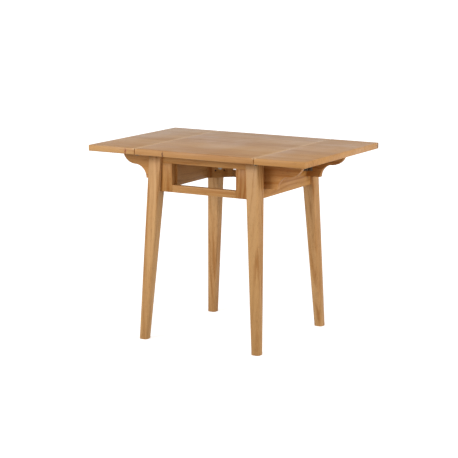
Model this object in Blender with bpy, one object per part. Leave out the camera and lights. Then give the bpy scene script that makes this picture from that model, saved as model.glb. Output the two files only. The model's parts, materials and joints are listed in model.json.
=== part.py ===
"""Drop leaf table: a fixed centre panel on four splayed legs, two hinged leaves, and four swing-out brackets.

X runs along the length, from the left leaf to the right leaf. Y runs from the front end frame to the back end frame.
Z is up, and the origin is on the floor under the middle of the table. All sizes are in metres.
The leaves are up and the brackets stand out under them. Each bracket folds in against its side apron.
"""

import math

import bmesh
import bpy
from mathutils import Matrix, Vector

# Gap kept between wooden pieces that touch or are glued, and round a pin or a stud in its hole
CONTACT_GAP = 0.0003

# Top
TABLE_HEIGHT = 0.725
TABLE_DEPTH = 0.620
PANEL_THICKNESS = 0.023
CENTRE_WIDTH = 0.494
LEAF_WIDTH = 0.2012
SEAM_GAP = 0.0018
PANEL_EASE = 0.0020

# Legs: square, tapering and rounding towards the foot, leaning outwards
LEG_TOP_SIZE = 0.052
LEG_FOOT_SIZE = 0.035
LEG_TOP_RADIUS = 0.004
LEG_FOOT_RADIUS = 0.011
LEG_CORNER_STEPS = 4
LEG_SIDE_DISTANCE = 0.045
LEG_END_DISTANCE = 0.094
LEG_SPLAY_X = 0.037
LEG_SPLAY_Y = 0.041

# Frame under the top
FRAME_HEIGHT = 0.141
BOARD_THICKNESS = 0.022
APRON_SETBACK = 0.008
END_FRAME_SETBACK = 0.0105
UPPER_RAIL_HEIGHT = 0.034
LOWER_RAIL_HEIGHT = 0.027
STILE_WIDTH = 0.042

# Tenons
TENON_THICKNESS = 0.010
TENON_SHOULDER = 0.009
TENON_ROOT = 0.012
MORTISE_WALL = 0.003
RAIL_TENON_LENGTH = 0.020
STILE_TENON_LENGTH = 0.012
STILE_TENON_WIDTH = 0.020
STILE_SIDE_TENON_HEIGHT = 0.030

# Corner blocks, and the stud and nut that draw each leg to its block
BLOCK_LEG_GAP = 0.0016
BLOCK_THICKNESS = 0.022
BLOCK_SCREW_SPACING = 0.035
BLOCK_SCREW_RISE = 0.028
BLOCK_SCREW_RADIUS = 0.0035
BLOCK_SCREW_DEPTH = 0.008
STUD_RADIUS = 0.004
STUD_CORNER_COVER = 0.0435
STUD_OVERHANG = 0.012
STUD_RISE = 0.040
NUT_FLANGE_RADIUS = 0.0085
NUT_FLANGE_THICKNESS = 0.0015
NUT_ACROSS_FLATS = 0.013
NUT_HEIGHT = 0.008

# Brackets under the leaves
BRACKET_THICKNESS = 0.020
BRACKET_LEG_GAP = 0.0065
BRACKET_FOOT_WIDTH = 0.056
BRACKET_COVE_RADIUS = 0.049
BRACKET_NOSE_RADIUS = 0.055
BRACKET_ARC_STEPS = 12

# Hinges
HINGE_OFFSET = 0.003
HINGE_PLATE_THICKNESS = 0.0015
KNUCKLE_RADIUS = 0.0026
KNUCKLE_END_INSET = 0.0003
PIN_RADIUS = 0.0012
PIN_HEAD_RADIUS = 0.0024
PIN_HEAD_HEIGHT = 0.001
KNUCKLE_AXIAL_GAP = 0.0004
KNUCKLE_SWEEP_GAP = 0.0005
BRACKET_HINGE_LENGTH = 0.060
BRACKET_HINGE_WIDTH = 0.022
LEAF_HINGE_LENGTH = 0.050
LEAF_HINGE_WIDTH = 0.028
LEAF_HINGE_LEG_GAP = 0.005
ROUND_STEPS = 16

# Levels and faces that several pieces share
UNDERSIDE = TABLE_HEIGHT - PANEL_THICKNESS
LEG_TOP = UNDERSIDE - CONTACT_GAP
FRAME_TOP = UNDERSIDE - CONTACT_GAP
FRAME_BOTTOM = UNDERSIDE - FRAME_HEIGHT
OPENING_TOP = UNDERSIDE - UPPER_RAIL_HEIGHT
OPENING_BOTTOM = FRAME_BOTTOM + LOWER_RAIL_HEIGHT
SEAM_X = CENTRE_WIDTH / 2 + SEAM_GAP / 2
LEG_TOP_CENTRE_X = CENTRE_WIDTH / 2 - LEG_SIDE_DISTANCE
LEG_TOP_CENTRE_Y = TABLE_DEPTH / 2 - LEG_END_DISTANCE
LEG_HALF_TOP = LEG_TOP_SIZE / 2
OPENING_HALF = LEG_TOP_CENTRE_X - LEG_HALF_TOP - STILE_WIDTH
APRON_OUTER = LEG_TOP_CENTRE_X + LEG_HALF_TOP - APRON_SETBACK
APRON_INNER = APRON_OUTER - BOARD_THICKNESS
END_OUTER = LEG_TOP_CENTRE_Y + LEG_HALF_TOP - END_FRAME_SETBACK
END_INNER = END_OUTER - BOARD_THICKNESS
LEG_TENON_END_X = APRON_INNER - MORTISE_WALL
LEG_TENON_END_Y = END_INNER - MORTISE_WALL
BRACKET_OUTER = LEG_TOP_CENTRE_Y - LEG_HALF_TOP - BRACKET_LEG_GAP
BRACKET_INNER = BRACKET_OUTER - BRACKET_THICKNESS
BRACKET_ROOT = APRON_OUTER + CONTACT_GAP
BRACKET_TOP = UNDERSIDE - CONTACT_GAP
BRACKET_BOTTOM = BRACKET_TOP - BRACKET_COVE_RADIUS - BRACKET_NOSE_RADIUS
BRACKET_PIVOT_X = APRON_OUTER + HINGE_OFFSET
BRACKET_PIVOT_Y = BRACKET_INNER - HINGE_OFFSET
BRACKET_PIVOT_Z = (BRACKET_TOP + BRACKET_BOTTOM) / 2
LEAF_PIVOT_Z = UNDERSIDE - HINGE_OFFSET
LEAF_HINGE_Y = LEG_TOP_CENTRE_Y + LEG_HALF_TOP + LEAF_HINGE_LEG_GAP + LEAF_HINGE_LENGTH / 2
STUD_Z = FRAME_BOTTOM + STUD_RISE
STUD_DEPTH_IN_LEG = LEG_TOP_SIZE * math.sqrt(2) - STUD_CORNER_COVER

# Plan distance from the boards' inner corner to each end of the block's free face, past the leg's rounded corner
LEG_CORNER_DEPTH = APRON_INNER - LEG_TOP_CENTRE_X + END_INNER - LEG_TOP_CENTRE_Y + LEG_TOP_SIZE
LEG_CORNER_ROUNDING = LEG_TOP_RADIUS * (2 - math.sqrt(2))
BLOCK_REACH = LEG_CORNER_DEPTH - LEG_CORNER_ROUNDING + (BLOCK_LEG_GAP + BLOCK_THICKNESS) * math.sqrt(2)

SIDES = {"left": -1, "right": 1}
ENDS = {"front": -1, "back": 1}
CORNERS = {f"{end}_{side}": (sx, sy) for end, sy in ENDS.items() for side, sx in SIDES.items()}

# Colour, roughness and metallic value of each material
MATERIALS = {
    "top_wood": ((0.47, 0.29, 0.17, 1.0), 0.42, 0.0),
    "frame_wood": ((0.42, 0.24, 0.12, 1.0), 0.48, 0.0),
    "hinge_steel": ((0.55, 0.52, 0.47, 1.0), 0.38, 1.0),
    "bolt_steel": ((0.50, 0.50, 0.49, 1.0), 0.35, 1.0),
}


def clear_scene():
    for obj in list(bpy.data.objects):
        bpy.data.objects.remove(obj, do_unlink=True)


def make_materials():
    for name, (colour, roughness, metallic) in MATERIALS.items():
        material = bpy.data.materials.new(name)
        material.use_nodes = True
        shader = material.node_tree.nodes["Principled BSDF"]
        shader.inputs["Base Color"].default_value = colour
        shader.inputs["Roughness"].default_value = roughness
        shader.inputs["Metallic"].default_value = metallic
        material.diffuse_color = colour


def mesh_from(bm, name):
    bmesh.ops.recalc_face_normals(bm, faces=bm.faces)
    mesh = bpy.data.meshes.new(name)
    bm.to_mesh(mesh)
    bm.free()
    return mesh


def loft(name, rings):
    """A closed solid through rings that have the same number of points."""
    bm = bmesh.new()
    layers = [[bm.verts.new(point) for point in ring] for ring in rings]
    count = len(layers[0])
    for lower, upper in zip(layers, layers[1:]):
        for i in range(count):
            j = (i + 1) % count
            bm.faces.new((lower[i], lower[j], upper[j], upper[i]))
    bm.faces.new(list(reversed(layers[0])))
    bm.faces.new(layers[-1])
    return mesh_from(bm, name)


def box(name, low, high):
    corners = ((0, 0), (1, 0), (1, 1), (0, 1))
    ends = (low, high)
    return loft(name, [[(ends[a][0], ends[b][1], z) for a, b in corners] for z in (low[2], high[2])])


def cylinder(name, radius, low, high, steps=ROUND_STEPS):
    """A cylinder along Z, from height low to height high."""
    turn = 2 * math.pi / steps
    circle = [(radius * math.cos(i * turn), radius * math.sin(i * turn)) for i in range(steps)]
    return loft(name, [[(x, y, z) for x, y in circle] for z in (low, high)])


def frame_of(along, toward, place):
    """A pose whose X runs along, Y runs toward, and Z follows by the right-hand rule."""
    x = Vector(along).normalized()
    y = Vector(toward).normalized()
    z = x.cross(y)
    pose = Matrix((x, y, z)).transposed().to_4x4()
    pose.translation = Vector(place)
    return pose


def add_piece(name, mesh, material, pose=None, parent=None):
    piece = bpy.data.objects.new(name, mesh)
    bpy.context.collection.objects.link(piece)
    mesh.materials.append(bpy.data.materials[material])
    place = pose.copy() if pose else Matrix.Identity(4)
    if parent:
        piece.parent = parent
        place = Matrix.Translation(-parent.location) @ place
    piece.matrix_basis = place
    return piece


def shade_round(piece):
    piece.data.shade_smooth()
    piece.data.set_sharp_from_angle(angle=math.radians(35))


def add_tool(name, mesh, pose=None):
    """A shape that only cuts or extends another piece, and isn't part of the table."""
    tool = bpy.data.objects.new(name, mesh)
    bpy.context.collection.objects.link(tool)
    tool.hide_render = True
    tool.display_type = "WIRE"
    if pose:
        tool.matrix_basis = pose
    return tool


def combine(piece, tool, operation):
    modifier = piece.modifiers.new(tool.name, "BOOLEAN")
    modifier.operation = operation
    modifier.solver = "EXACT"
    modifier.object = tool


def cut(piece, tool):
    combine(piece, tool, "DIFFERENCE")


def join(piece, tool):
    combine(piece, tool, "UNION")


def pivot(name, place):
    empty = bpy.data.objects.new(name, None)
    empty.location = place
    bpy.context.collection.objects.link(empty)
    return empty


def spread(low, high, gap):
    """The box's corners, moved outwards by the gap."""
    return tuple(v - gap for v in low), tuple(v + gap for v in high)


def mirrored_box(name, low, high, sx, sy):
    """A box given for the right back corner, carried to the corner with these signs."""
    xs = sorted((sx * low[0], sx * high[0]))
    ys = sorted((sy * low[1], sy * high[1]))
    return box(name, (xs[0], ys[0], low[2]), (xs[1], ys[1], high[2]))


# Legs


def leg_ring(sx, sy, z, grow):
    """The leg's rounded square outline at one height, made larger all round by grow."""
    share = 1 - z / LEG_TOP
    x = sx * (LEG_TOP_CENTRE_X + LEG_SPLAY_X * share)
    y = sy * (LEG_TOP_CENTRE_Y + LEG_SPLAY_Y * share)
    half = (LEG_TOP_SIZE + (LEG_FOOT_SIZE - LEG_TOP_SIZE) * share) / 2
    radius = LEG_TOP_RADIUS + (LEG_FOOT_RADIUS - LEG_TOP_RADIUS) * share
    inset = half - radius
    points = []
    for quarter in range(4):
        start = quarter * math.pi / 2
        middle = start + math.pi / 4
        corner_x = x + math.copysign(inset, math.cos(middle))
        corner_y = y + math.copysign(inset, math.sin(middle))
        for step in range(LEG_CORNER_STEPS + 1):
            angle = start + step * math.pi / 2 / LEG_CORNER_STEPS
            reach = radius + grow
            points.append((corner_x + reach * math.cos(angle), corner_y + reach * math.sin(angle), z))
    return points


def leg_shape(name, sx, sy, low=0.0, high=LEG_TOP, grow=0.0):
    return loft(name, [leg_ring(sx, sy, z, grow) for z in (low, high)])


def leg_tool(name, sx, sy):
    """The leg with the contact gap round it, longer than the frame is tall, to cut the boards' shoulders."""
    margin = BOARD_THICKNESS
    shape = leg_shape(name, sx, sy, FRAME_BOTTOM - margin, LEG_TOP + margin, CONTACT_GAP)
    return add_tool(name, shape)


# Tenons, given for the right back corner


def tenon_boxes():
    """Each leg tenon as its low and high corners. Its inner end lies inside its board."""
    thin = (BOARD_THICKNESS - TENON_THICKNESS) / 2
    leg_face_x = LEG_TOP_CENTRE_X - LEG_HALF_TOP
    leg_face_y = LEG_TOP_CENTRE_Y - LEG_HALF_TOP
    stile_low = OPENING_TOP - TENON_SHOULDER - STILE_SIDE_TENON_HEIGHT
    return {
        "side_apron": (
            (APRON_INNER + thin, leg_face_y - TENON_ROOT, FRAME_BOTTOM + TENON_SHOULDER),
            (APRON_OUTER - thin, LEG_TENON_END_Y, FRAME_TOP - TENON_SHOULDER),
        ),
        "upper_rail": (
            (leg_face_x - TENON_ROOT, END_INNER + thin, OPENING_TOP + TENON_SHOULDER),
            (LEG_TENON_END_X, END_OUTER - thin, FRAME_TOP - TENON_SHOULDER),
        ),
        "stile": (
            (leg_face_x - TENON_ROOT, END_INNER + thin, stile_low),
            (LEG_TENON_END_X, END_OUTER - thin, stile_low + STILE_SIDE_TENON_HEIGHT),
        ),
    }


def stile_top_tenon():
    middle = (OPENING_HALF + LEG_TOP_CENTRE_X - LEG_HALF_TOP) / 2
    thin = (BOARD_THICKNESS - TENON_THICKNESS) / 2
    return (
        (middle - STILE_TENON_WIDTH / 2, END_INNER + thin, OPENING_TOP - TENON_ROOT),
        (middle + STILE_TENON_WIDTH / 2, END_OUTER - thin, OPENING_TOP + STILE_TENON_LENGTH),
    )


def lower_rail_tenon():
    thin = (BOARD_THICKNESS - TENON_THICKNESS) / 2
    return (
        (OPENING_HALF - TENON_ROOT, END_INNER + thin, FRAME_BOTTOM + TENON_SHOULDER),
        (OPENING_HALF + RAIL_TENON_LENGTH, END_OUTER - thin, OPENING_BOTTOM - TENON_SHOULDER),
    )


def add_tenon(board, name, corners, sx, sy):
    join(board, add_tool(f"{name}_tenon", mirrored_box(name, *corners, sx, sy)))


def add_mortise(board, name, corners, sx, sy):
    cut(board, add_tool(f"{name}_mortise", mirrored_box(name, *spread(*corners, CONTACT_GAP), sx, sy)))


def build_legs():
    boxes = tenon_boxes()
    for corner, (sx, sy) in CORNERS.items():
        leg = add_piece(f"{corner}_leg", leg_shape(corner, sx, sy), "frame_wood")
        for board, corners in boxes.items():
            add_mortise(leg, f"{corner}_leg_{board}", corners, sx, sy)
        stud_hole = cylinder("stud_hole", STUD_RADIUS + CONTACT_GAP, *stud_span(CONTACT_GAP))
        cut(leg, add_tool(f"{corner}_leg_stud_hole", stud_hole, stud_pose(sx, sy)))


# Frame boards


def cut_shoulders(board, corners):
    for corner in corners:
        cut(board, add_tool_once(f"{corner}_shoulder", lambda: leg_tool(f"{corner}_shoulder", *CORNERS[corner])))


def add_tool_once(name, make):
    return bpy.data.objects.get(name) or make()


def build_side_aprons():
    boxes = tenon_boxes()
    for side, sx in SIDES.items():
        low = (APRON_INNER, -LEG_TOP_CENTRE_Y, FRAME_BOTTOM)
        high = (APRON_OUTER, LEG_TOP_CENTRE_Y, FRAME_TOP)
        apron = add_piece(f"{side}_apron", mirrored_box(side, low, high, sx, 1), "frame_wood")
        cut_shoulders(apron, [f"{end}_{side}" for end in ENDS])
        for end, sy in ENDS.items():
            add_tenon(apron, f"{side}_apron_{end}", boxes["side_apron"], sx, sy)


def build_upper_rail(end, sy):
    name = f"{end}_upper_rail"
    low = (-LEG_TOP_CENTRE_X, END_INNER, OPENING_TOP)
    high = (LEG_TOP_CENTRE_X, END_OUTER, FRAME_TOP)
    rail = add_piece(name, mirrored_box(name, low, high, 1, sy), "frame_wood")
    cut_shoulders(rail, [f"{end}_{side}" for side in SIDES])
    for side, sx in SIDES.items():
        add_tenon(rail, f"{name}_{side}", tenon_boxes()["upper_rail"], sx, sy)
        add_mortise(rail, f"{name}_{side}_stile", stile_top_tenon(), sx, sy)


def build_lower_rail(end, sy):
    name = f"{end}_lower_rail"
    half = OPENING_HALF - CONTACT_GAP
    low = (-half, END_INNER, FRAME_BOTTOM)
    high = (half, END_OUTER, OPENING_BOTTOM)
    rail = add_piece(name, mirrored_box(name, low, high, 1, sy), "frame_wood")
    for side, sx in SIDES.items():
        add_tenon(rail, f"{name}_{side}", lower_rail_tenon(), sx, sy)


def build_stile(end, sy, side, sx):
    name = f"{end}_{side}_stile"
    low = (OPENING_HALF, END_INNER, FRAME_BOTTOM)
    high = (LEG_TOP_CENTRE_X, END_OUTER, OPENING_TOP - CONTACT_GAP)
    stile = add_piece(name, mirrored_box(name, low, high, sx, sy), "frame_wood")
    cut_shoulders(stile, [f"{end}_{side}"])
    add_tenon(stile, f"{name}_side", tenon_boxes()["stile"], sx, sy)
    add_tenon(stile, f"{name}_top", stile_top_tenon(), sx, sy)
    add_mortise(stile, f"{name}_rail", lower_rail_tenon(), sx, sy)


def build_end_frames():
    for end, sy in ENDS.items():
        build_upper_rail(end, sy)
        build_lower_rail(end, sy)
        for side, sx in SIDES.items():
            build_stile(end, sy, side, sx)


# Corner blocks, studs and flange nuts


def block_middle():
    """The middle of the block's free face in plan, for the right back corner."""
    return APRON_INNER - BLOCK_REACH / 2, END_INNER - BLOCK_REACH / 2


def stud_pose(sx, sy, z=STUD_Z):
    """A pose on the block's free face, with Z pointing from the leg out of the block."""
    x, y = block_middle()
    outward = Vector((-sx, -sy, 0)).normalized()
    up = Vector((0, 0, 1))
    return frame_of(up, outward.cross(up), (sx * x, sy * y, z))


def leg_corner_distance():
    """How far behind the block's free face the leg's inner corner lies, at the stud's height."""
    share = 1 - STUD_Z / LEG_TOP
    half = (LEG_TOP_SIZE + (LEG_FOOT_SIZE - LEG_TOP_SIZE) * share) / 2
    corner_x = LEG_TOP_CENTRE_X + LEG_SPLAY_X * share - half
    corner_y = LEG_TOP_CENTRE_Y + LEG_SPLAY_Y * share - half
    x, y = block_middle()
    return (corner_x + corner_y - x - y) / math.sqrt(2)


def stud_span(extra=0.0):
    return -leg_corner_distance() - STUD_DEPTH_IN_LEG - extra, STUD_OVERHANG


def block_outline():
    gap = CONTACT_GAP
    back = BLOCK_THICKNESS * math.sqrt(2)
    x, y = APRON_INNER - gap, END_INNER - gap
    return [
        (x, y - BLOCK_REACH),
        (x, y - BLOCK_REACH + back),
        (x - BLOCK_REACH + back, y),
        (x - BLOCK_REACH, y),
    ]


def build_corner_blocks():
    for corner, (sx, sy) in CORNERS.items():
        rings = [[(sx * x, sy * y, z) for x, y in block_outline()] for z in (FRAME_BOTTOM, FRAME_TOP)]
        block = add_piece(f"{corner}_corner_block", loft(corner, rings), "frame_wood")
        through = cylinder("through", STUD_RADIUS + CONTACT_GAP, -2 * BLOCK_THICKNESS, BLOCK_THICKNESS)
        cut(block, add_tool(f"{corner}_block_stud_hole", through, stud_pose(sx, sy)))
        screw_pose = stud_pose(sx, sy, FRAME_BOTTOM + BLOCK_SCREW_RISE)
        for label, side in (("a", -1), ("b", 1)):
            recess = cylinder("recess", BLOCK_SCREW_RADIUS, -BLOCK_SCREW_DEPTH, BLOCK_SCREW_DEPTH)
            offset = Matrix.Translation((0, side * BLOCK_SCREW_SPACING / 2, 0))
            cut(block, add_tool(f"{corner}_block_screw_{label}", recess, screw_pose @ offset))


def build_studs():
    for corner, (sx, sy) in CORNERS.items():
        stud = add_piece(
            f"{corner}_leg_stud",
            cylinder("stud", STUD_RADIUS, *stud_span()),
            "bolt_steel",
            stud_pose(sx, sy),
        )
        shade_round(stud)


def build_flange_nuts():
    start = 2 * CONTACT_GAP
    corner_radius = NUT_ACROSS_FLATS / math.sqrt(3)
    for corner, (sx, sy) in CORNERS.items():
        pose = stud_pose(sx, sy)
        flange = cylinder("nut", NUT_FLANGE_RADIUS, start, start + NUT_FLANGE_THICKNESS)
        nut = add_piece(f"{corner}_flange_nut", flange, "bolt_steel", pose)
        hexagon = cylinder("hexagon", corner_radius, start + CONTACT_GAP, start + NUT_HEIGHT, 6)
        join(nut, add_tool(f"{corner}_nut_hexagon", hexagon, pose))
        bore = cylinder("bore", STUD_RADIUS + CONTACT_GAP, -STUD_OVERHANG, 2 * STUD_OVERHANG)
        cut(nut, add_tool(f"{corner}_nut_bore", bore, pose))
        shade_round(nut)


# Hinges, each in its own frame: X out along the plate, Y towards the surface that it is screwed to, Z along the pin


def knuckle_spans(length):
    """The heights of the fixed plate's two knuckles and of the moving plate's one between them."""
    inner = length / 6
    outer = length / 2 - KNUCKLE_END_INSET
    gap = KNUCKLE_AXIAL_GAP / 2
    return [(-outer, -inner - gap), (inner + gap, outer)], [(gap - inner, inner - gap)]


def add_hinge_plate(name, pose, width, length, own, others, parent=None):
    surface = HINGE_OFFSET - CONTACT_GAP
    low = (0, surface - HINGE_PLATE_THICKNESS, -length / 2)
    high = (width, surface, length / 2)
    plate = add_piece(name, box(name, low, high), "hinge_steel", pose, parent)
    for n, (start, end) in enumerate(others):
        reach = KNUCKLE_RADIUS + KNUCKLE_SWEEP_GAP
        if start < 0 < end:
            ends = (start - KNUCKLE_AXIAL_GAP, end + KNUCKLE_AXIAL_GAP)
        elif start < 0:
            ends = (start - length, end + KNUCKLE_AXIAL_GAP)
        else:
            ends = (start - KNUCKLE_AXIAL_GAP, end + length)
        notch = box("notch", (-reach, -reach, ends[0]), (reach, reach, ends[1]))
        cut(plate, add_tool(f"{name}_notch_{n}", notch, pose))
    for n, (start, end) in enumerate(own):
        knuckle = cylinder("knuckle", KNUCKLE_RADIUS, start, end)
        join(plate, add_tool(f"{name}_knuckle_{n}", knuckle, pose))
    bore = cylinder("bore", PIN_RADIUS + CONTACT_GAP, -length, length)
    cut(plate, add_tool(f"{name}_bore", bore, pose))
    shade_round(plate)
    return plate


def add_pin(name, pose, length):
    half = length / 2 + CONTACT_GAP
    pin = add_piece(name, cylinder(name, PIN_RADIUS, -half - PIN_HEAD_HEIGHT / 2, half), "hinge_steel", pose)
    for label, side in (("a", -1), ("b", 1)):
        ends = sorted((side * half, side * (half + PIN_HEAD_HEIGHT)))
        join(pin, add_tool(f"{name}_head_{label}", cylinder("head", PIN_HEAD_RADIUS, *ends), pose))
    shade_round(pin)


def add_hinge(name, place, fixed_axes, moving_axes, width, length, parent):
    fixed_pose = frame_of(*fixed_axes, place)
    moving_pose = frame_of(*moving_axes, place)
    fixed, moving = knuckle_spans(length)
    add_hinge_plate(f"{name}_fixed_plate", fixed_pose, width, length, fixed, moving)
    add_hinge_plate(f"{name}_moving_plate", moving_pose, width, length, moving, fixed, parent)
    add_pin(f"{name}_pin", fixed_pose, length)


# Brackets


def bracket_outline():
    """The bracket's side view for the right side, from the foot's root corner round to the top."""
    foot_end = BRACKET_ROOT + BRACKET_FOOT_WIDTH
    cove_x = foot_end + BRACKET_COVE_RADIUS
    nose_z = BRACKET_BOTTOM + BRACKET_COVE_RADIUS + BRACKET_NOSE_RADIUS
    points = [(BRACKET_ROOT, BRACKET_BOTTOM)]
    for step in range(BRACKET_ARC_STEPS + 1):
        angle = step * math.pi / 2 / BRACKET_ARC_STEPS
        x = cove_x - BRACKET_COVE_RADIUS * math.cos(angle)
        z = BRACKET_BOTTOM + BRACKET_COVE_RADIUS * math.sin(angle)
        points.append((x, z))
    for step in range(1, BRACKET_ARC_STEPS + 1):
        angle = step * math.pi / 2 / BRACKET_ARC_STEPS
        x = cove_x + BRACKET_NOSE_RADIUS * math.sin(angle)
        z = nose_z - BRACKET_NOSE_RADIUS * math.cos(angle)
        points.append((x, z))
    points.append((BRACKET_ROOT, BRACKET_TOP))
    return points


def build_brackets():
    for corner, (sx, sy) in CORNERS.items():
        place = Vector((sx * BRACKET_PIVOT_X, sy * BRACKET_PIVOT_Y, BRACKET_PIVOT_Z))
        joint = pivot(f"{corner}_bracket_joint", place)
        ys = sorted((sy * BRACKET_INNER, sy * BRACKET_OUTER))
        rings = [[(sx * x, y, z) for x, z in bracket_outline()] for y in ys]
        add_piece(f"{corner}_bracket", loft(corner, rings), "frame_wood", parent=joint)
        add_hinge(
            f"{corner}_bracket_hinge",
            place,
            ((0, -sy, 0), (-sx, 0, 0)),
            ((sx, 0, 0), (0, sy, 0)),
            BRACKET_HINGE_WIDTH,
            BRACKET_HINGE_LENGTH,
            joint,
        )


# Top


def panel(name, low, high, parent=None):
    piece = add_piece(name, box(name, low, high), "top_wood", parent=parent)
    ease = piece.modifiers.new("eased_edges", "BEVEL")
    ease.width = PANEL_EASE
    ease.segments = 2
    return piece


def build_top():
    half_depth = TABLE_DEPTH / 2
    half_centre = CENTRE_WIDTH / 2
    low = (-half_centre, -half_depth, UNDERSIDE)
    panel("centre_panel", low, (half_centre, half_depth, TABLE_HEIGHT))
    for side, sx in SIDES.items():
        joint = pivot(f"{side}_leaf_joint", Vector((sx * SEAM_X, 0, LEAF_PIVOT_Z)))
        inner = half_centre + SEAM_GAP
        xs = sorted((sx * inner, sx * (inner + LEAF_WIDTH)))
        low = (xs[0], -half_depth, UNDERSIDE)
        panel(f"{side}_leaf", low, (xs[1], half_depth, TABLE_HEIGHT), joint)
        for end, sy in ENDS.items():
            add_hinge(
                f"{end}_{side}_leaf_hinge",
                Vector((sx * SEAM_X, sy * LEAF_HINGE_Y, LEAF_PIVOT_Z)),
                ((-sx, 0, 0), (0, 0, 1)),
                ((sx, 0, 0), (0, 0, 1)),
                LEAF_HINGE_WIDTH,
                LEAF_HINGE_LENGTH,
                joint,
            )


def main():
    clear_scene()
    make_materials()
    build_legs()
    build_side_aprons()
    build_end_frames()
    build_corner_blocks()
    build_studs()
    build_flange_nuts()
    build_brackets()
    build_top()


main()
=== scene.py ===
"""Looks of the drop leaf table.

Oiled hardwood boards with eased edges, steel hinges, wood screws, threaded studs and flange nuts.
"""
import json
import math
from random import Random

import bmesh
import bpy
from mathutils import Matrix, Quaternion, Vector


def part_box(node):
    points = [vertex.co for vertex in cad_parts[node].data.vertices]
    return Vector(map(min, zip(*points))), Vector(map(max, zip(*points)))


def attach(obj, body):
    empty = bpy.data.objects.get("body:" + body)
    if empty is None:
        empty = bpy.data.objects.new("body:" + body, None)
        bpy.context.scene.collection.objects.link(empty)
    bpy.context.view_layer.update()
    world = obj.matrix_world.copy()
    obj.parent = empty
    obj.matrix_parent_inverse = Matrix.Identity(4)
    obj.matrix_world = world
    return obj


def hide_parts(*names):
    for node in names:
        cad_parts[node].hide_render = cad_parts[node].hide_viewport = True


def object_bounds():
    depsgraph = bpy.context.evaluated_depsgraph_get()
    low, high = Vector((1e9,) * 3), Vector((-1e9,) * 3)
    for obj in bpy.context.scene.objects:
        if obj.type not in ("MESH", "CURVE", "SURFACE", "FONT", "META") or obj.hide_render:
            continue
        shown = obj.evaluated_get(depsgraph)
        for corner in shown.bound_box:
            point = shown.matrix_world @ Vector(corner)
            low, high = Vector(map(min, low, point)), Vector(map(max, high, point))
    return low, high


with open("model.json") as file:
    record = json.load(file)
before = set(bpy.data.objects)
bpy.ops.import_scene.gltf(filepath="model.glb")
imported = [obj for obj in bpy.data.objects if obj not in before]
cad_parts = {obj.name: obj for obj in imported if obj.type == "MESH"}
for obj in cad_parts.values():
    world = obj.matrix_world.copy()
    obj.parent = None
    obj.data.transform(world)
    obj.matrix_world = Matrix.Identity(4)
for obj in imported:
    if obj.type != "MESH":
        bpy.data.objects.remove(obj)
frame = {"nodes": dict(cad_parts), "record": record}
cad_low, cad_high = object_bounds()

CORNERS = {
    f"{end}_{side}": (sx, sy)
    for end, sy in (("front", -1), ("back", 1))
    for side, sx in (("left", -1), ("right", 1))
}
BODY_OF = {
    node: body
    for body, members in frame["record"]["behaviour"]["bodies"].items()
    for node in members
}

# Camera
CAMERA_PLACE = (2.97369, -5.34221, 1.53575)
CAMERA_AZIMUTH = 29.29
CAMERA_ELEVATION = 10.53
CAMERA_ROLL = 0.26
CAMERA_LENS = 129.2
CAMERA_SENSOR = 36

# Easing of edges, in metres, and the turn of a surface that counts as an edge
WOOD_EASE = 0.0009
PLATE_EASE = 0.0003
EASE_STEPS = 2
EDGE_ANGLE = math.radians(35)
CREASE_ANGLE = math.radians(32)
# Corners closer than this are one corner, and faces that turn less than this are one face
MERGE_DISTANCE = 2e-6
FLAT_ANGLE = math.radians(0.4)

# Thread on the free ends of the leg studs. Its depth and the tip's chamfer are shares of the radius
THREAD_PITCH = 0.00125
THREAD_STEP = THREAD_PITCH / 6
THREAD_LENGTH = 0.014
THREAD_SIDES = 28
THREAD_DEPTH = 0.14

# Wood screws: head radius, dome height, and places from the plates' edges
SCREW_RADIUS = 0.0032
PLATE_THICKNESS = 0.0015
SCREW_RISE = 0.0008
SCREW_END_SPACE = 0.010
SCREW_RIM_SPACE = 0.0075
BLOCK_SCREW_SPACING = 0.035
BLOCK_SCREW_LEVEL = 0.028
BLOCK_SCREW_SUNK = 0.0066
# The head's rings and cross recess, as shares of its radius or its rise
HEAD_SIDES = 24
HEAD_RINGS = (1.0, 0.93, 0.72, 0.45)
HEAD_DOME = 2.4
CROSS_ARM = 0.40
CROSS_HALF = 0.10
CROSS_TAPER = 0.8
CROSS_DEPTH = 0.8

# Wood pattern: how tightly each layer is drawn, along the fibres first and then across them
BEND_DRAW = (1.6, 6.0, 6.0)
UNEVEN_DRAW = (3.0, 70.0, 70.0)
STREAK_DRAW = (2.2, 55.0, 55.0)
FIBRE_DRAW = (14.0, 620.0, 620.0)
DRIFT_DRAW = (1.3, 7.0, 7.0)
PORE_DRAW = (55.0, 1500.0, 1500.0)
# Growth rings: how close they lie, how they tilt through the board, and how far the bends push them
RING_RATE = 420.0
RING_TILT = 0.62
RING_BEND = 0.075
# How much paler a rubbed edge is
RUBBED_GAIN = 1.22
WOOD_IOR = 1.47

# Steel: fine brushing
BRUSH_DRAW = (900.0, 900.0, 120.0)

# Bump of each material: strength and height
WOOD_BUMP = (0.35, 0.0004)
STEEL_BUMP = (0.15, 0.0001)

# Room: floor, world and lamps
FLOOR_REACH = 40.0
FLOOR_DROP = 0.0005
FLOOR_GLOW = 0.66
FLOOR_GLOW_NEAR = 0.6
FLOOR_GLOW_FAR = 4.0
FLOOR_BOUNCE = 0.42
FLOOR_BOUNCE_WARMTH = (1.0, 0.97, 0.93)
WORLD_LIGHT = 0.38
LAMP_AIM = (0, 0, 0.5)
KEY_PLACE, KEY_SIZE, KEY_WATTS = (-1.75, -3.7, 2.0), (2.0, 1.5), 112
SIDE_PLACE, SIDE_SIZE, SIDE_WATTS = (4.0, -0.5, 1.5), (2.6, 2.0), 96


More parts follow.
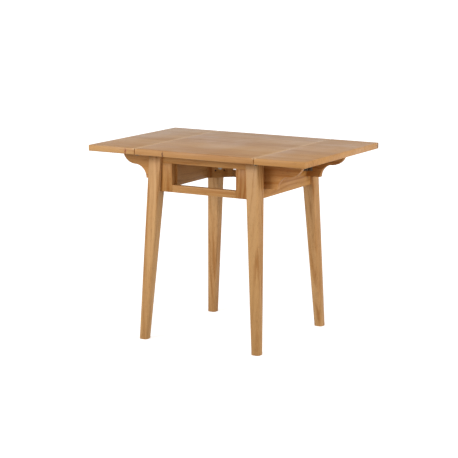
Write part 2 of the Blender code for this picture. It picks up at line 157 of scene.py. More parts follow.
def place_camera():
    data = bpy.data.cameras.new("camera")
    data.sensor_width = CAMERA_SENSOR
    data.lens = CAMERA_LENS
    camera = bpy.data.objects.new("camera", data)
    bpy.context.scene.collection.objects.link(camera)
    azimuth, elevation = math.radians(CAMERA_AZIMUTH), math.radians(CAMERA_ELEVATION)
    back = Vector((
        math.sin(azimuth) * math.cos(elevation),
        -math.cos(azimuth) * math.cos(elevation),
        math.sin(elevation),
    ))
    camera.rotation_mode = "QUATERNION"
    turn = Quaternion((0, 0, 1), math.radians(CAMERA_ROLL))
    camera.rotation_quaternion = (-back).to_track_quat("-Z", "Y") @ turn
    camera.location = CAMERA_PLACE
    bpy.context.scene.camera = camera


# ---- Node groups ----

def new_group(name, inputs, outputs):
    """A shader node group with its input and output nodes. Inputs are (name, kind, default)."""
    tree = bpy.data.node_groups.new(name, "ShaderNodeTree")
    for label, kind, default in inputs:
        socket = tree.interface.new_socket(label, in_out="INPUT", socket_type=kind)
        if default is not None:
            socket.default_value = default
    for label, kind in outputs:
        tree.interface.new_socket(label, in_out="OUTPUT", socket_type=kind)
    return tree, tree.nodes.new("NodeGroupInput"), tree.nodes.new("NodeGroupOutput")


def wire(tree, source, target):
    tree.links.new(source, target)


def math_node(tree, operation, a, b=None, clamp=False):
    node = tree.nodes.new("ShaderNodeMath")
    node.operation = operation
    node.use_clamp = clamp
    for slot, value in ((0, a), (1, b)):
        if value is None:
            continue
        if isinstance(value, (int, float)):
            node.inputs[slot].default_value = value
        else:
            wire(tree, value, node.inputs[slot])
    return node.outputs[0]


def vector_node(tree, operation, *vectors):
    node = tree.nodes.new("ShaderNodeVectorMath")
    node.operation = operation
    for slot, vector in enumerate(vectors):
        wire(tree, vector, node.inputs[slot])
    return node


def remap(tree, value, low, high, to_low=0.0, to_high=1.0):
    """Carries low to high over to to_low to to_high on a smooth curve."""
    node = tree.nodes.new("ShaderNodeMapRange")
    node.interpolation_type = "SMOOTHSTEP"
    wire(tree, value, node.inputs["Value"])
    limits = {"From Min": low, "From Max": high, "To Min": to_low, "To Max": to_high}
    for label, number in limits.items():
        node.inputs[label].default_value = number
    return node.outputs["Result"]


def noise(tree, vector, scale, detail, roughness=0.5):
    node = tree.nodes.new("ShaderNodeTexNoise")
    wire(tree, vector, node.inputs["Vector"])
    node.inputs["Scale"].default_value = scale
    node.inputs["Detail"].default_value = detail
    node.inputs["Roughness"].default_value = roughness
    return node.outputs["Fac"]


def drawn_noise(tree, vector, draw, detail, roughness=0.5):
    """Noise drawn out by a different amount along each axis."""
    node = tree.nodes.new("ShaderNodeMapping")
    node.inputs["Scale"].default_value = draw
    wire(tree, vector, node.inputs["Vector"])
    return noise(tree, node.outputs["Vector"], 1.0, detail, roughness)


def blend_colour(tree, factor, a, b):
    node = tree.nodes.new("ShaderNodeMix")
    node.data_type = "RGBA"
    colours = [s for s in node.inputs if s.type == "RGBA"]
    for socket, value in ((node.inputs["Factor"], factor), (colours[0], a), (colours[1], b)):
        if isinstance(value, (int, float, tuple)):
            socket.default_value = value
        else:
            wire(tree, value, socket)
    return next(s for s in node.outputs if s.type == "RGBA")


def grain_group():
    """Hardwood grain with its fibres along X: growth rings, figure, pores and slow colour drift."""
    tree, entry, leave = new_group(
        "hardwood_grain",
        [
            ("Vector", "NodeSocketVector", None),
            ("Pale", "NodeSocketColor", (0.62, 0.42, 0.24, 1)),
            ("Deep", "NodeSocketColor", (0.45, 0.26, 0.12, 1)),
            ("Pore", "NodeSocketColor", (0.22, 0.11, 0.05, 1)),
            ("Ring contrast", "NodeSocketFloat", 0.5),
            ("Pore amount", "NodeSocketFloat", 0.5),
            ("Drift", "NodeSocketFloat", 0.5),
        ],
        [
            ("Colour", "NodeSocketColor"),
            ("Height", "NodeSocketFloat"),
            ("Gloss loss", "NodeSocketFloat"),
        ],
    )
    place = entry.outputs["Vector"]

    # Long slow bends carry the rings off the straight line
    bend = drawn_noise(tree, place, BEND_DRAW, 2.0)
    sweep = tree.nodes.new("ShaderNodeSeparateXYZ")
    wire(tree, place, sweep.inputs[0])
    tilt = math_node(tree, "MULTIPLY", sweep.outputs["Z"], RING_TILT)
    across = math_node(tree, "ADD", sweep.outputs["Y"], tilt)
    across = math_node(tree, "ADD", across, math_node(tree, "MULTIPLY", bend, RING_BEND))
    rings = math_node(tree, "SINE", math_node(tree, "MULTIPLY", across, RING_RATE))
    uneven = drawn_noise(tree, place, UNEVEN_DRAW, 3.0, 0.55)
    rings = math_node(tree, "MULTIPLY", remap(tree, rings, -0.6, 1.0), remap(tree, uneven, 0.3, 0.75))

    # Streaks a few millimetres wide, and fine fibres
    streak = drawn_noise(tree, place, STREAK_DRAW, 4.0, 0.6)
    fibre = drawn_noise(tree, place, FIBRE_DRAW, 2.0)
    drift = drawn_noise(tree, place, DRIFT_DRAW, 2.0)

    tone = math_node(tree, "MULTIPLY", rings, entry.outputs["Ring contrast"])
    tone = math_node(tree, "ADD", tone, remap(tree, streak, 0.35, 0.68, 0.0, 0.34))
    tone = math_node(tree, "ADD", tone, remap(tree, fibre, 0.3, 0.7, -0.14, 0.22))
    slow = math_node(tree, "MULTIPLY", remap(tree, drift, 0.32, 0.68, -0.5, 0.5), entry.outputs["Drift"])
    tone = math_node(tree, "ADD", tone, slow, clamp=True)
    colour = blend_colour(tree, tone, entry.outputs["Pale"], entry.outputs["Deep"])

    # Short open pores, more of them in the darker growth
    pore = remap(tree, drawn_noise(tree, place, PORE_DRAW, 1.0, 0.4), 0.64, 0.74)
    crowd = remap(tree, streak, 0.3, 0.7, 0.35, 1.0)
    pore = math_node(tree, "MULTIPLY", pore, crowd)
    pore = math_node(tree, "MULTIPLY", pore, entry.outputs["Pore amount"], clamp=True)
    colour = blend_colour(tree, pore, colour, entry.outputs["Pore"])

    height = math_node(tree, "SUBTRACT", math_node(tree, "MULTIPLY", fibre, 0.35), pore)
    loss = math_node(tree, "MULTIPLY", pore, 0.30)
    loss = math_node(tree, "ADD", loss, remap(tree, streak, 0.3, 0.7, 0.0, 0.08))
    wire(tree, colour, leave.inputs["Colour"])
    wire(tree, height, leave.inputs["Height"])
    wire(tree, loss, leave.inputs["Gloss loss"])
    return tree


def handling_group():
    """Rubbed edges that are paler, and soft smears of oil over the whole surface."""
    tree, entry, leave = new_group(
        "handling",
        [
            ("Vector", "NodeSocketVector", None),
            ("Colour", "NodeSocketColor", (0.5, 0.3, 0.2, 1)),
            ("Edge", "NodeSocketFloat", 0.0),
            ("Edge colour", "NodeSocketColor", (0.8, 0.6, 0.4, 1)),
            ("Roughness", "NodeSocketFloat", 0.45),
            ("Smear", "NodeSocketFloat", 0.06),
        ],
        [("Colour", "NodeSocketColor"), ("Roughness", "NodeSocketFloat")],
    )
    place = entry.outputs["Vector"]
    patchy = noise(tree, place, 38.0, 3.0, 0.6)
    rub = math_node(tree, "MULTIPLY", entry.outputs["Edge"], remap(tree, patchy, 0.3, 0.7, 0.12, 0.45))
    colour = blend_colour(tree, rub, entry.outputs["Colour"], entry.outputs["Edge colour"])
    cloud = remap(tree, noise(tree, place, 6.0, 4.0, 0.6), 0.3, 0.7, -1.0, 1.0)
    spread = math_node(tree, "MULTIPLY", cloud, entry.outputs["Smear"])
    rough = math_node(tree, "ADD", entry.outputs["Roughness"], spread, clamp=True)
    wire(tree, colour, leave.inputs["Colour"])
    wire(tree, rough, leave.inputs["Roughness"])
    return tree


def steel_wear_group():
    """Zinc plating: faint cloudy crystals, fine brushing and a few darker spots."""
    tree, entry, leave = new_group(
        "plating",
        [
            ("Vector", "NodeSocketVector", None),
            ("Bright", "NodeSocketColor", (0.6, 0.6, 0.58, 1)),
            ("Dull", "NodeSocketColor", (0.35, 0.33, 0.30, 1)),
            ("Roughness", "NodeSocketFloat", 0.35),
        ],
        [
            ("Colour", "NodeSocketColor"),
            ("Roughness", "NodeSocketFloat"),
            ("Height", "NodeSocketFloat"),
        ],
    )
    place = entry.outputs["Vector"]
    cloud = noise(tree, place, 160.0, 3.0, 0.6)
    brush = drawn_noise(tree, place, BRUSH_DRAW, 2.0)
    spot = remap(tree, noise(tree, place, 420.0, 1.0), 0.66, 0.76)
    spot = math_node(tree, "MULTIPLY", spot, 0.4)
    dull = math_node(tree, "ADD", remap(tree, cloud, 0.35, 0.7, 0.0, 0.6), spot, clamp=True)
    colour = blend_colour(tree, dull, entry.outputs["Bright"], entry.outputs["Dull"])
    spread = remap(tree, cloud, 0.3, 0.7, -0.06, 0.12)
    rough = math_node(tree, "ADD", entry.outputs["Roughness"], spread, clamp=True)
    wire(tree, colour, leave.inputs["Colour"])
    wire(tree, rough, leave.inputs["Roughness"])
    wire(tree, brush, leave.inputs["Height"])
    return tree


def spot_group():
    """A soft spot with an uneven rim round a place. It paints a reddish mark, painted shade at a notch and
    at a corner, and painted highlights along the seams.
    """
    tree, entry, leave = new_group(
        "wood_spot",
        [
            ("Vector", "NodeSocketVector", None),
            ("Place", "NodeSocketVector", (0, 0, 0)),
            ("Spread", "NodeSocketVector", (100.0, 100.0, 100.0)),
            ("Strength", "NodeSocketFloat", 0.5),
        ],
        [("Mask", "NodeSocketFloat")],
    )
    away = vector_node(tree, "SUBTRACT", entry.outputs["Vector"], entry.outputs["Place"]).outputs["Vector"]
    scaled = vector_node(tree, "MULTIPLY", away, entry.outputs["Spread"]).outputs["Vector"]
    length = vector_node(tree, "LENGTH", scaled)
    rim = remap(tree, noise(tree, entry.outputs["Vector"], 240.0, 2.0), 0.3, 0.7, -0.3, 0.3)
    mask = remap(tree, math_node(tree, "ADD", length.outputs["Value"], rim), 1.0, 0.35)
    wire(tree, math_node(tree, "MULTIPLY", mask, entry.outputs["Strength"]), leave.inputs["Mask"])
    return tree


GRAIN, HANDLING, PLATING, SPOT = grain_group(), handling_group(), steel_wear_group(), spot_group()


# ---- Materials ----

def linear(red, green, blue):
    """A colour given in 0 to 255 as screens show it, in the linear values that shaders use."""
    values = [c / 255 for c in (red, green, blue)]
    return tuple(c / 12.92 if c <= 0.04045 else ((c + 0.055) / 1.055) ** 2.4 for c in values) + (1.0,)


def empty_material(name):
    material = bpy.data.materials.new(name)
    material.use_nodes = True
    tree = material.node_tree
    return material, tree, tree.nodes["Principled BSDF"]


def place_group(tree, group, **values):
    node = tree.nodes.new("ShaderNodeGroup")
    node.node_tree = group
    for label, value in values.items():
        socket = node.inputs[label.replace("_", " ")]
        if isinstance(value, (int, float, tuple)):
            socket.default_value = value
        else:
            wire(tree, value, socket)
    return node


# Turn of the pattern that lays its fibres along each axis of the table
FIBRES = {
    "x": (0.0, 0.0, 0.0),
    "y": (0.0, 0.0, -math.pi / 2),
    "z": (0.0, math.pi / 2, 0.0),
}


def set_bump(tree, shader, height, bump):
    node = tree.nodes.new("ShaderNodeBump")
    node.inputs["Strength"].default_value, node.inputs["Distance"].default_value = bump
    wire(tree, height, node.inputs["Height"])
    wire(tree, node.outputs["Normal"], shader.inputs["Normal"])


def wood(
    name, along, start, pale, deep, ring, pores, drift, rough, sheen, lean=(0.0, 0.0, 0.0), spots=(),
):
    """Oiled wood with its fibres along one axis of the table, and its own spots."""
    material, tree, shader = empty_material(name)
    coordinates = tree.nodes.new("ShaderNodeTexCoord")
    turn = tree.nodes.new("ShaderNodeMapping")
    turn.inputs["Rotation"].default_value = [a + b for a, b in zip(FIBRES[along], lean)]
    turn.inputs["Location"].default_value = start
    wire(tree, coordinates.outputs["Object"], turn.inputs["Vector"])
    place = turn.outputs["Vector"]
    grain = place_group(
        tree, GRAIN, Vector=place, Pale=pale, Deep=deep, Pore=PORE_BROWN,
        Ring_contrast=ring, Pore_amount=pores, Drift=drift,
    )
    edge = tree.nodes.new("ShaderNodeAttribute")
    edge.attribute_name = "eased"
    rubbed = tuple(min(1.0, c * RUBBED_GAIN) for c in pale[:3]) + (1.0,)
    touched = place_group(
        tree, HANDLING, Vector=place, Colour=grain.outputs["Colour"], Edge=edge.outputs["Fac"],
        Edge_colour=rubbed, Roughness=rough,
    )
    colour = touched.outputs["Colour"]
    for centre, spread, tint, strength in spots:
        spot = place_group(
            tree, SPOT, Vector=coordinates.outputs["Object"], Place=centre,
            Spread=tuple(1 / s for s in spread), Strength=strength,
        )
        colour = blend_colour(tree, spot.outputs["Mask"], colour, tint)
    loss = grain.outputs["Gloss loss"]
    rough_sum = math_node(tree, "ADD", touched.outputs["Roughness"], loss, clamp=True)
    wire(tree, colour, shader.inputs["Base Color"])
    wire(tree, rough_sum, shader.inputs["Roughness"])
    set_bump(tree, shader, grain.outputs["Height"], WOOD_BUMP)
    shader.inputs["IOR"].default_value = WOOD_IOR
    shader.inputs["Specular IOR Level"].default_value = sheen
    return material


def steel(name, bright, dull, rough):
    material, tree, shader = empty_material(name)
    coordinates = tree.nodes.new("ShaderNodeTexCoord")
    plating = place_group(
        tree, PLATING, Vector=coordinates.outputs["Object"], Bright=bright, Dull=dull, Roughness=rough,
    )
    wire(tree, plating.outputs["Colour"], shader.inputs["Base Color"])
    wire(tree, plating.outputs["Roughness"], shader.inputs["Roughness"])
    set_bump(tree, shader, plating.outputs["Height"], STEEL_BUMP)
    shader.inputs["Metallic"].default_value = 1.0
    return material


STEELS = {
    "hinge_steel": steel("hinge_plating", linear(104, 95, 82), linear(66, 59, 50), 0.48),
    "bolt_steel": steel("bolt_plating", linear(160, 154, 142), linear(104, 98, 88), 0.42),
    "screw_steel": steel("screw_blackening", linear(74, 70, 66), linear(38, 35, 33), 0.42),
}

PORE_BROWN = linear(104, 62, 30)
TOP_TONES = {
    "centre_panel": (linear(197, 148, 92), linear(172, 119, 66)),
    "left_leaf": (linear(198, 151, 96), linear(172, 121, 70)),
    "right_leaf": (linear(196, 143, 82), linear(169, 115, 57)),
}
TOP_GRAIN = {"ring": 0.5, "pores": 0.45, "drift": 0.7, "rough": 0.40, "sheen": 0.35}
FRAME_GRAIN = {"ring": 0.8, "pores": 0.8, "drift": 0.9, "rough": 0.45, "sheen": 0.23}
# How far apart in the log pieces are cut, and how far their shade and fibre direction vary
LOG_REACH = 4
SHADE_SPREAD = 5
LEAN_SPREAD = 0.025
# The legs' colours, and how far each kind of frame piece goes redder and darker than the legs: partly the
# wood's own tone, partly painted shade and warm bounced light on the pieces under the top
FRAME_PALE, FRAME_DEEP = (213, 167, 113), (175, 122, 68)
FRAME_TONE_AND_SHADE = {
    "leg": (0, 0, 0),
    "stile": (-12, -16, -20),
    "upper_rail": (-4, -11, -18),
    "lower_rail": (-5, -5, -7),
    "apron": (-14, -20, -28),
    "corner_block": (-14, -22, -32),
    "bracket": (-14, -22, -28),
}
# Pieces from boards that are paler or darker than the rest, and painted light and shade for pieces that
# stand in more or less light
OWN_AND_PAINTED_SHADES = {
    "front_right_leg": -12,
    "front_left_leg": -1,
    "back_left_leg": 5,
    "back_right_leg": 2,
    "front_left_stile": -13,
    "front_upper_rail": -3,
    "left_apron": 10,
    "right_apron": -3,
    "front_left_bracket": -3,
    "front_right_bracket": 12,
    "back_right_bracket": -12,
}
# Marks on the top: middle, half extents, colour and strength. The pale bands along the seams are painted
# highlights, where light catches the eased edges of the boards
RED_MARK, NOTCH_PAINTED_SHADE, BACK_CORNER_PAINTED_SHADE = linear(138, 66, 32), linear(96, 54, 24), linear(74, 42, 24)
# Painted highlight: the colour of the pale band along each seam of the top
SEAM_PAINTED_HIGHLIGHT = linear(240, 206, 162)
SEAM_X = (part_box("right_leaf")[0].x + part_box("centre_panel")[1].x) / 2
LEFT_SEAM_HIGHLIGHT, RIGHT_SEAM_HIGHLIGHT = (
    ((side * SEAM_X, 0.0, cad_high[2]), (0.0115, 60.0, 0.006), SEAM_PAINTED_HIGHLIGHT, 0.42) for side in (-1, 1)
)
TOP_SPOTS = {
    "left_leaf": [
        LEFT_SEAM_HIGHLIGHT,
        # A reddish dark mark on the left leaf's front edge
        ((-0.288, -0.31, 0.712), (0.0060, 0.03, 0.014), RED_MARK, 0.9),
    ],
    "centre_panel": [
        LEFT_SEAM_HIGHLIGHT,
        RIGHT_SEAM_HIGHLIGHT,
        # Painted shade at a small notch in the centre panel's front edge
        ((-0.128, -0.31, 0.710), (0.0048, 0.02, 0.013), NOTCH_PAINTED_SHADE, 0.9),
    ],
    "right_leaf": [
        RIGHT_SEAM_HIGHLIGHT,
        # Painted shade at the back right corner of the right leaf
        ((0.45, 0.308, 0.714), (0.016, 0.020, 0.016), BACK_CORNER_PAINTED_SHADE, 0.7),
    ],
}


def wood_for(node, number):
    """The wood of one piece. Each piece is cut from its own place in the log, so no two share a pattern."""
    pick = Random(number * 7 + 3)
    start = tuple(pick.uniform(-LOG_REACH, LOG_REACH) for _ in range(3))
    if node in TOP_TONES:
        pale, deep = TOP_TONES[node]
        return wood(f"{node}_wood", "x", start, pale, deep, **TOP_GRAIN, spots=TOP_SPOTS[node])
    kind = next(k for k in FRAME_TONE_AND_SHADE if node.endswith(k))
    shade = pick.uniform(-SHADE_SPREAD, SHADE_SPREAD) + OWN_AND_PAINTED_SHADES.get(node, 0)
    change = [c + shade for c in FRAME_TONE_AND_SHADE[kind]]
    pale, deep = (
        linear(*(base + c for base, c in zip(tone, change))) for tone in (FRAME_PALE, FRAME_DEEP)
    )
    lean = tuple(pick.uniform(-LEAN_SPREAD, LEAN_SPREAD) for _ in range(3))
    along = {"leg": "z", "stile": "z", "corner_block": "z", "apron": "y"}.get(kind, "x")
    return wood(f"{node}_wood", along, start, pale, deep, **FRAME_GRAIN, lean=lean)


# ---- Pieces made from the frame's solids ----

def eased_copy(node, ease):
    """The node's solid as one joined mesh with its outer edges eased and the eased strips marked."""
    shape = bmesh.new()
    shape.from_mesh(frame["nodes"][node].data)
    bmesh.ops.remove_doubles(shape, verts=shape.verts, dist=MERGE_DISTANCE)
    bmesh.ops.dissolve_limit(
        shape, angle_limit=FLAT_ANGLE, verts=shape.verts, edges=shape.edges,
        use_dissolve_boundaries=False,
    )
    mark = shape.faces.layers.float.new("eased")
    outer = [
        e for e in shape.edges
        if e.is_convex and e.is_manifold and e.calc_face_angle(0) > EDGE_ANGLE
    ]
    if ease and outer:
        made = bmesh.ops.bevel(
            shape, geom=outer, offset=ease, offset_type="OFFSET", segments=EASE_STEPS,
            profile=0.5, affect="EDGES", clamp_overlap=True, harden_normals=False,
        )
        for face in made["faces"]:
            face[mark] = 1.0
    mesh = bpy.data.meshes.new(f"{node}_finished")
    shape.to_mesh(mesh)
    shape.free()
    return mesh


def add_piece(name, mesh, material, body, stands_for=()):
    mesh.materials.clear()
    mesh.materials.append(material)
    mesh.shade_smooth()
    mesh.set_sharp_from_angle(angle=CREASE_ANGLE)
    piece = bpy.data.objects.new(name, mesh)
    bpy.context.scene.collection.objects.link(piece)
    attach(piece, body)
    if stands_for:
        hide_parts(*stands_for)
    return piece


def close_band(shape, lower, upper):
    """Faces between two rings of corners."""
    for i in range(len(lower)):
        j = (i + 1) % len(lower)
        shape.faces.new((lower[i], lower[j], upper[j], upper[i]))


def threaded_stud(corner):
    """The stud from inside the block to its free end, with a helical thread and a chamfered tip."""
    sx, sy = CORNERS[corner]
    low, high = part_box(f"{corner}_leg_stud")
    radius = (high.z - low.z) / 2
    height = (high.z + low.z) / 2
    # The stud lies level on the diagonal, so its box gives both of its ends
    cap = radius / math.sqrt(2)
    outer = Vector((low.x if sx > 0 else high.x, low.y if sy > 0 else high.y, height))
    inner = Vector((high.x if sx > 0 else low.x, high.y if sy > 0 else low.y, height))
    outer -= Vector((-sx, -sy, 0)) * cap
    inner -= Vector((sx, sy, 0)) * cap
    along = (outer - inner).normalized()
    across, up = along.cross(Vector((0, 0, 1))), Vector((0, 0, 1))
    length = (outer - inner).length
    thread_start = length - THREAD_LENGTH
    depths = [0.0, thread_start]
    while depths[-1] + THREAD_STEP < length:
        depths.append(depths[-1] + THREAD_STEP)
    depths.append(length)
    shape = bmesh.new()
    rings = []
    for depth in depths:
        ring = []
        for i in range(THREAD_SIDES):
            angle = 2 * math.pi * i / THREAD_SIDES
            phase = (depth / THREAD_PITCH - i / THREAD_SIDES) % 1.0
            groove = abs(phase - 0.5) * 2 if depth > thread_start else 1.0
            tip = max(0.0, 1 - (length - depth) / THREAD_PITCH)
            reach = radius * (1 - THREAD_DEPTH * (1 - groove) - THREAD_DEPTH * tip)
            spot = inner + along * depth + (across * math.cos(angle) + up * math.sin(angle)) * reach
            ring.append(shape.verts.new(spot))
        rings.append(ring)
    for lower, upper in zip(rings, rings[1:]):
        close_band(shape, lower, upper)
    shape.faces.new(list(reversed(rings[0])))
    shape.faces.new(rings[-1])
    bmesh.ops.recalc_face_normals(shape, faces=shape.faces)
    mesh = bpy.data.meshes.new(f"{corner}_leg_stud_threaded")
    shape.to_mesh(mesh)
    shape.free()
    return mesh


def slot_of(node):
    if node in TOP_TONES:
        return "top_wood"
    if "hinge" in node:
        return "hinge_steel"
    if node.endswith("stud") or node.endswith("nut"):
        return "bolt_steel"
    return "frame_wood"


def finish_nodes():
    for number, node in enumerate(sorted(frame["nodes"])):
        slot = slot_of(node)
        if node.endswith("leg_stud"):
            mesh = threaded_stud(node.removesuffix("_leg_stud"))
            add_piece(f"{node}_finished", mesh, STEELS[slot], BODY_OF[node], [node])
            continue
        if slot in STEELS:
            ease = PLATE_EASE if node.endswith(("plate", "nut")) else 0.0
            material = STEELS[slot]
        else:
            # The top's boards are already eased in the frame
            ease = 0.0 if node in TOP_TONES else WOOD_EASE
            material = wood_for(node, number)
        add_piece(f"{node}_finished", eased_copy(node, ease), material, BODY_OF[node], [node])


# ---- Screws ----

def ring_edges(shape, ring):
    return [shape.edges.get((ring[i], ring[(i + 1) % len(ring)])) for i in range(len(ring))]


def screw_head(name, radius, rise):
    """A low domed head with a cross recess, standing on the origin along Z."""
    shape = bmesh.new()
    rings = []
    for share in HEAD_RINGS:
        height = rise * math.sqrt(max(0.0, 1 - share ** HEAD_DOME))
        rings.append([
            shape.verts.new((
                radius * share * math.cos(2 * math.pi * i / HEAD_SIDES),
                radius * share * math.sin(2 * math.pi * i / HEAD_SIDES),
                height,
            ))
            for i in range(HEAD_SIDES)
        ])
    for lower, upper in zip(rings, rings[1:]):
        close_band(shape, lower, upper)
    shape.faces.new(list(reversed(rings[0])))
    # The recess is a plus shape that narrows to its floor below the crown
    crown = rings[-1]
    level = crown[0].co.z
    arm, half = radius * CROSS_ARM, radius * CROSS_HALF
    plus = [
        (arm, -half), (arm, half), (half, half), (half, arm), (-half, arm), (-half, half),
        (-arm, half), (-arm, -half), (-half, -half), (-half, -arm), (half, -arm), (half, -half),
    ]
    top = [shape.verts.new((x, y, level)) for x, y in plus]
    floor = [
        shape.verts.new((x * CROSS_TAPER, y * CROSS_TAPER, level - rise * CROSS_DEPTH))
        for x, y in plus
    ]
    close_band(shape, top, floor)
    shape.faces.new(floor)
    # The crown's face lies between the last ring and the plus
    edges = ring_edges(shape, crown) + ring_edges(shape, top)
    bmesh.ops.triangle_fill(shape, edges=edges, use_beauty=True)
    bmesh.ops.recalc_face_normals(shape, faces=shape.faces)
    mesh = bpy.data.meshes.new(name)
    shape.to_mesh(mesh)
    shape.free()
    return mesh


def screw_tree():
    """Sets a screw head on every point, turned to the point's direction, with its own turn of the cross."""
    tree = bpy.data.node_groups.new("set_screws", "GeometryNodeTree")
    for label, kind in (
        ("Geometry", "NodeSocketGeometry"),
        ("Head", "NodeSocketObject"),
        ("Size", "NodeSocketFloat"),
        ("Seed", "NodeSocketInt"),
        ("Finish", "NodeSocketMaterial"),
    ):
        tree.interface.new_socket(label, in_out="INPUT", socket_type=kind)
    tree.interface.new_socket("Geometry", in_out="OUTPUT", socket_type="NodeSocketGeometry")
    add = tree.nodes.new
    entry, leave = add("NodeGroupInput"), add("NodeGroupOutput")
    head = add("GeometryNodeObjectInfo")
    direction = add("GeometryNodeInputNamedAttribute")
    align = add("FunctionNodeAlignRotationToVector")
    direction.data_type = "FLOAT_VECTOR"
    direction.inputs["Name"].default_value = "direction"
    align.axis = "Z"
    turn, spin = add("FunctionNodeRandomValue"), add("FunctionNodeRotateRotation")
    turn.data_type = "FLOAT"
    spin.rotation_space = "LOCAL"
    axis = add("ShaderNodeCombineXYZ")
    euler = add("FunctionNodeEulerToRotation")
    instance = add("GeometryNodeInstanceOnPoints")
    realise = add("GeometryNodeRealizeInstances")
    paint = add("GeometryNodeSetMaterial")
    link = tree.links.new
    link(entry.outputs["Head"], head.inputs["Object"])
    link(direction.outputs["Attribute"], align.inputs["Vector"])
    link(entry.outputs["Seed"], turn.inputs["Seed"])
    low = [s for s in turn.inputs if s.name == "Min" and s.type == "VALUE"][0]
    high = [s for s in turn.inputs if s.name == "Max" and s.type == "VALUE"][0]
    low.default_value, high.default_value = 0.0, math.pi
    link([s for s in turn.outputs if s.type == "VALUE"][0], axis.inputs["Z"])
    link(axis.outputs["Vector"], euler.inputs["Euler"])
    link(align.outputs["Rotation"], spin.inputs["Rotation"])
    link(euler.outputs["Rotation"], spin.inputs["Rotate By"])
    link(entry.outputs["Geometry"], instance.inputs["Points"])
    link(head.outputs["Geometry"], instance.inputs["Instance"])
    link(spin.outputs["Rotation"], instance.inputs["Rotation"])
    link(entry.outputs["Size"], instance.inputs["Scale"])
    link(instance.outputs["Instances"], realise.inputs["Geometry"])
    link(realise.outputs["Geometry"], paint.inputs["Geometry"])
    link(entry.outputs["Finish"], paint.inputs["Material"])
    link(paint.outputs["Geometry"], leave.inputs["Geometry"])
    return tree


SCREW_TREE = screw_tree()


def set_screws(node, seats, head, seed, material):
    """One piece with a screw on every seat, a seat being (place, direction). It rides with the node."""
    name = f"{node}_screws"
    points = bpy.data.meshes.new(f"{name}_seats")
    points.from_pydata([tuple(place) for place, _ in seats], [], [])
    way = points.attributes.new("direction", "FLOAT_VECTOR", "POINT")
    way.data.foreach_set("vector", [c for _, direction in seats for c in direction])
    carrier = bpy.data.objects.new(f"{name}_seats", points)
    bpy.context.scene.collection.objects.link(carrier)
    modifier = carrier.modifiers.new("screws", "NODES")
    modifier.node_group = SCREW_TREE
    values = {"Head": head, "Size": 1.0, "Seed": seed, "Finish": material}
    for item in SCREW_TREE.interface.items_tree:
        if item.in_out == "INPUT" and item.name in values:
            modifier[item.identifier] = values[item.name]
    bpy.context.view_layer.update()
    settled = carrier.evaluated_get(bpy.context.evaluated_depsgraph_get())
    mesh = bpy.data.meshes.new_from_object(settled)
    mesh.name = name
    bpy.data.objects.remove(carrier)
    add_piece(name, mesh, material, BODY_OF[node])


def leaf_plate_seats(node):
    """Two seats on the open underside of a leaf hinge plate, near its far rim."""
    low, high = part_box(node)
    pin_low, pin_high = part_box(node.replace("fixed_plate", "pin").replace("moving_plate", "pin"))
    axis = (pin_low.x + pin_high.x) / 2
    rim = max((low.x, high.x), key=lambda x: abs(x - axis))
    x = rim - math.copysign(SCREW_RIM_SPACE, rim - axis)
    level = high.z - PLATE_THICKNESS
    return [((x, y, level), (0, 0, -1)) for y in (low.y + SCREW_END_SPACE, high.y - SCREW_END_SPACE)]


def bracket_plate_seats(node, sx, sy):
    """Two seats on the open face of a bracket hinge plate, near its far rim."""
    low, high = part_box(node)
    heights = (low.z + SCREW_END_SPACE, high.z - SCREW_END_SPACE)
    if node.endswith("fixed_plate"):
        x = (low.x if sx > 0 else high.x) + sx * PLATE_THICKNESS
        y = (high.y if sy < 0 else low.y) + sy * SCREW_RIM_SPACE
        return [((x, y, z), (sx, 0, 0)) for z in heights]
    x = (high.x if sx > 0 else low.x) - sx * SCREW_RIM_SPACE
    y = (low.y if sy < 0 else high.y) - sy * PLATE_THICKNESS
    return [((x, y, z), (0, -sy, 0)) for z in heights]


def block_seats(corner, sx, sy):
    """Two seats sunk in the corner block's free face."""
    low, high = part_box(f"{corner}_corner_block")
    into = Vector((sx, sy, 0)).normalized()
    side = Vector((sx, -sy, 0)).normalized()
    middle = Vector(((low.x + high.x) / 2, (low.y + high.y) / 2, low.z + BLOCK_SCREW_LEVEL))
    places = [middle + into * BLOCK_SCREW_SUNK + side * (k * BLOCK_SCREW_SPACING / 2) for k in (-1, 1)]
    return [(tuple(p), tuple(-into)) for p in places]


def tool_object(name, mesh):
    tool = bpy.data.objects.new(name, mesh)
    bpy.context.scene.collection.objects.link(tool)
    tool.hide_render = tool.hide_viewport = True
    return tool


def fix_screws():
    head = tool_object("screw_head", screw_head("screw_head", SCREW_RADIUS, SCREW_RISE))
    seed = 0
    for corner, (sx, sy) in CORNERS.items():
        for hinge, seats_of in (
            ("leaf_hinge", leaf_plate_seats),
            ("bracket_hinge", lambda node: bracket_plate_seats(node, sx, sy)),
        ):
            for plate in ("fixed_plate", "moving_plate"):
                node = f"{corner}_{hinge}_{plate}"
                seed += 1
                set_screws(node, seats_of(node), head, seed, STEELS["hinge_steel"])
        seed += 1
        node = f"{corner}_corner_block"
        set_screws(node, block_seats(corner, sx, sy), head, seed, STEELS["screw_steel"])
    bpy.data.objects.remove(head)


# ---- Room ----

def add_lamp(name, place, size, watts):
    data = bpy.data.lights.new(name, "AREA")
    data.shape = "RECTANGLE"
    data.size, data.size_y = size
    data.energy = watts
    lamp = bpy.data.objects.new(name, data)
    lamp.location = place
    lamp.rotation_mode = "QUATERNION"
    lamp.rotation_quaternion = (Vector(LAMP_AIM) - Vector(place)).to_track_quat("-Z", "Y")
    bpy.context.scene.collection.objects.link(lamp)


def seen_mask(tree):
    """1 for what the eye and reflections see, 0 for the light that the room gives."""
    path = tree.nodes.new("ShaderNodeLightPath")
    return math_node(tree, "MAXIMUM", path.outputs["Is Camera Ray"], path.outputs["Is Glossy Ray"])


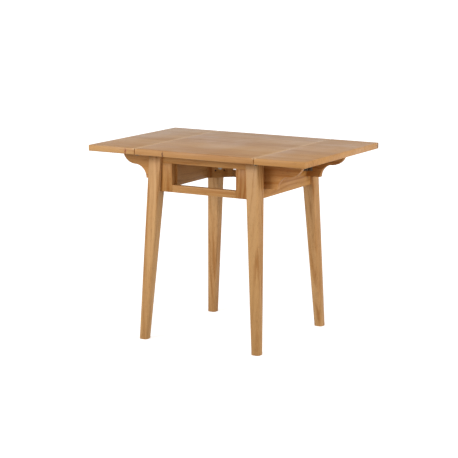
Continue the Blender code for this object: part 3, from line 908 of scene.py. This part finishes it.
def floor_material():
    """White to the eye and to reflections, but a plain grey to the light it gives back. Clear from below."""
    material, tree, shader = empty_material("floor_white")
    seen = seen_mask(tree)
    bounce = tuple(FLOOR_BOUNCE * c for c in FLOOR_BOUNCE_WARMTH) + (1.0,)
    colour = blend_colour(tree, seen, bounce, (0.8, 0.8, 0.8, 1.0))
    wire(tree, colour, shader.inputs["Base Color"])
    shader.inputs["Roughness"].default_value = 0.9
    shader.inputs["Specular IOR Level"].default_value = 0.0
    coordinates = tree.nodes.new("ShaderNodeTexCoord")
    length = vector_node(tree, "LENGTH", coordinates.outputs["Object"])
    glow = tree.nodes.new("ShaderNodeEmission")
    level = remap(tree, length.outputs["Value"], FLOOR_GLOW_NEAR, FLOOR_GLOW_FAR, FLOOR_GLOW, 1.0)
    wire(tree, math_node(tree, "MULTIPLY", level, seen), glow.inputs["Strength"])
    total = tree.nodes.new("ShaderNodeAddShader")
    wire(tree, shader.outputs[0], total.inputs[0])
    wire(tree, glow.outputs[0], total.inputs[1])
    clear = tree.nodes.new("ShaderNodeBsdfTransparent")
    side = tree.nodes.new("ShaderNodeNewGeometry")
    either = tree.nodes.new("ShaderNodeMixShader")
    wire(tree, side.outputs["Backfacing"], either.inputs[0])
    wire(tree, total.outputs[0], either.inputs[1])
    wire(tree, clear.outputs[0], either.inputs[2])
    wire(tree, either.outputs[0], tree.nodes["Material Output"].inputs["Surface"])
    return material


def add_room():
    """A white floor that keeps the table's shadow, a white world, and lamps at the front and the right."""
    mesh = bpy.data.meshes.new("floor")
    corners = [(x * FLOOR_REACH, y * FLOOR_REACH, 0) for x, y in ((-1, -1), (1, -1), (1, 1), (-1, 1))]
    mesh.from_pydata(corners, [], [(0, 1, 2, 3)])
    floor = bpy.data.objects.new("floor", mesh)
    bpy.context.scene.collection.objects.link(floor)
    floor.location.z = -FLOOR_DROP
    mesh.materials.append(floor_material())

    world = bpy.data.worlds.new("room")
    bpy.context.scene.world = world
    world.use_nodes = True
    tree = world.node_tree
    light = tree.nodes["Background"]
    light.inputs["Color"].default_value = (1, 0.99, 0.98, 1)
    light.inputs["Strength"].default_value = WORLD_LIGHT
    white = tree.nodes.new("ShaderNodeBackground")
    white.inputs["Color"].default_value = (1, 1, 1, 1)
    white.inputs["Strength"].default_value = 1.0
    mixed = tree.nodes.new("ShaderNodeMixShader")
    wire(tree, seen_mask(tree), mixed.inputs[0])
    wire(tree, light.outputs[0], mixed.inputs[1])
    wire(tree, white.outputs[0], mixed.inputs[2])
    wire(tree, mixed.outputs[0], tree.nodes["World Output"].inputs["Surface"])

    add_lamp("key", KEY_PLACE, KEY_SIZE, KEY_WATTS)
    add_lamp("side", SIDE_PLACE, SIDE_SIZE, SIDE_WATTS)


bpy.context.scene.view_settings.view_transform = "Standard"
place_camera()
add_room()
finish_nodes()
fix_screws()
